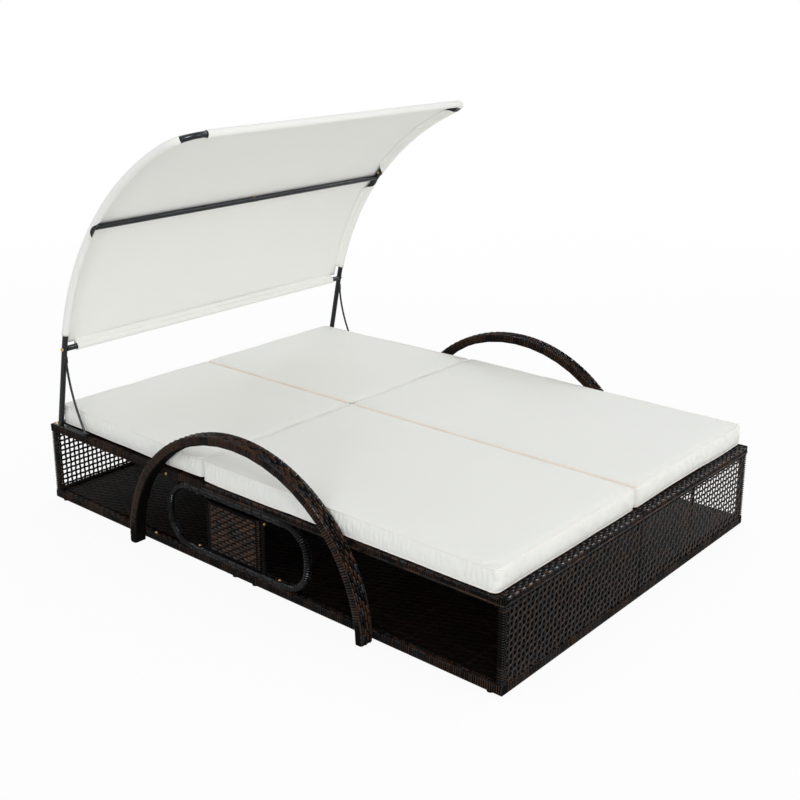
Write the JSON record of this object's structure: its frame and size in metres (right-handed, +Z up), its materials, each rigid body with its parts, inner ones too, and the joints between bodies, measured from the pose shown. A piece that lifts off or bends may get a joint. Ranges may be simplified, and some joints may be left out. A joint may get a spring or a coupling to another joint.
{
  "type": "outdoor daybed with canopy",
  "caption": "Low woven double daybed with reclining backrests, open storage shelf, hooped arms and a curved fabric sun canopy over the head end.",
  "frame": {"origin": "on the floor, under the middle of the base", "axes": "+Z up, +Y towards the head end with the canopy, X across the width"},
  "size_m": [1.51, 2, 1.3831],
  "materials": {
    "rattan": "woven dark brown synthetic rattan, satin",
    "grey_rattan": "wrapped charcoal tube, satin",
    "dark_steel": "charcoal powder coat",
    "zinc": "yellow zinc plate",
    "canopy_fabric": "off-white woven polyester",
    "cushion_fabric": "cream woven polyester"
  },
  "bodies": {
    "base": {"shelf_frame_foot_left": "rattan", "shelf_frame_head_left": "rattan", "shelf_frame_foot_right": "rattan", "shelf_frame_head_right": "rattan", "end_panel_foot_left": "rattan", "end_panel_head_left": "rattan", "end_panel_foot_right": "rattan", "end_panel_head_right": "rattan", "seat_frame_left": "rattan", "seat_frame_right": "rattan", "rear_frame_left": "rattan", "rear_frame_right": "rattan", "stay_rack_outer_left": "dark_steel", "stay_rack_outer_right": "dark_steel", "stay_rack_inner_left": "dark_steel", "stay_rack_inner_right": "dark_steel", "side_support_left": "grey_rattan", "side_support_right": "grey_rattan", "side_panel_left": "rattan", "side_panel_right": "rattan", "centre_support": "dark_steel", "arm_left": "rattan", "arm_right": "rattan", "canopy_post_left": "dark_steel", "canopy_post_right": "dark_steel", "canopy_brace_left": "dark_steel", "canopy_brace_right": "dark_steel", "canopy_arch_left": "dark_steel", "canopy_arch_right": "dark_steel", "canopy_elbow_left": "dark_steel", "canopy_elbow_right": "dark_steel", "canopy_front_bar": "dark_steel", "canopy_mid_bar_left": "dark_steel", "canopy_mid_bar_right": "dark_steel", "canopy_lower_bar": "dark_steel", "canopy_joint_bolt_left": "zinc", "canopy_joint_bolt_right": "zinc", "canopy_cloth": "canopy_fabric", "seat_cushion_left": "cushion_fabric", "seat_cushion_right": "cushion_fabric"},
    "backrest_left": {"backrest_frame_left": "rattan", "backrest_hinge_rod_left": "dark_steel", "stay_pivot_rod_left": "dark_steel", "back_cushion_left": "cushion_fabric"},
    "backrest_right": {"backrest_frame_right": "rattan", "backrest_hinge_rod_right": "dark_steel", "stay_pivot_rod_right": "dark_steel", "back_cushion_right": "cushion_fabric"},
    "stay_left": {"backrest_stay_left": "dark_steel"},
    "stay_right": {"backrest_stay_right": "dark_steel"}
  },
  "joints": [
    {"name": "backrest_left_tilt", "type": "hinge", "parent": "base", "child": "backrest_left", "pos_m": [-0.353, 0.184, 0.274], "axis": [1, 0, 0], "range_deg": [0, 60], "deforming": ["back_cushion_left"]},
    {"name": "backrest_right_tilt", "type": "hinge", "parent": "base", "child": "backrest_right", "pos_m": [0.353, 0.184, 0.274], "axis": [1, 0, 0], "range_deg": [0, 60], "deforming": ["back_cushion_right"]},
    {"name": "stay_left_swing", "type": "hinge", "parent": "backrest_left", "child": "stay_left", "pos_m": [-0.353, 0.5152, 0.274], "axis": [1, 0, 0], "range_deg": [-120, 0]},
    {"name": "stay_right_swing", "type": "hinge", "parent": "backrest_right", "child": "stay_right", "pos_m": [0.353, 0.5152, 0.274], "axis": [1, 0, 0], "range_deg": [-120, 0]}
  ],
  "couplings": [
    {"joint": "stay_left_swing", "follows": "backrest_left_tilt", "ratio": -2},
    {"joint": "stay_right_swing", "follows": "backrest_right_tilt", "ratio": -2}
  ]
}
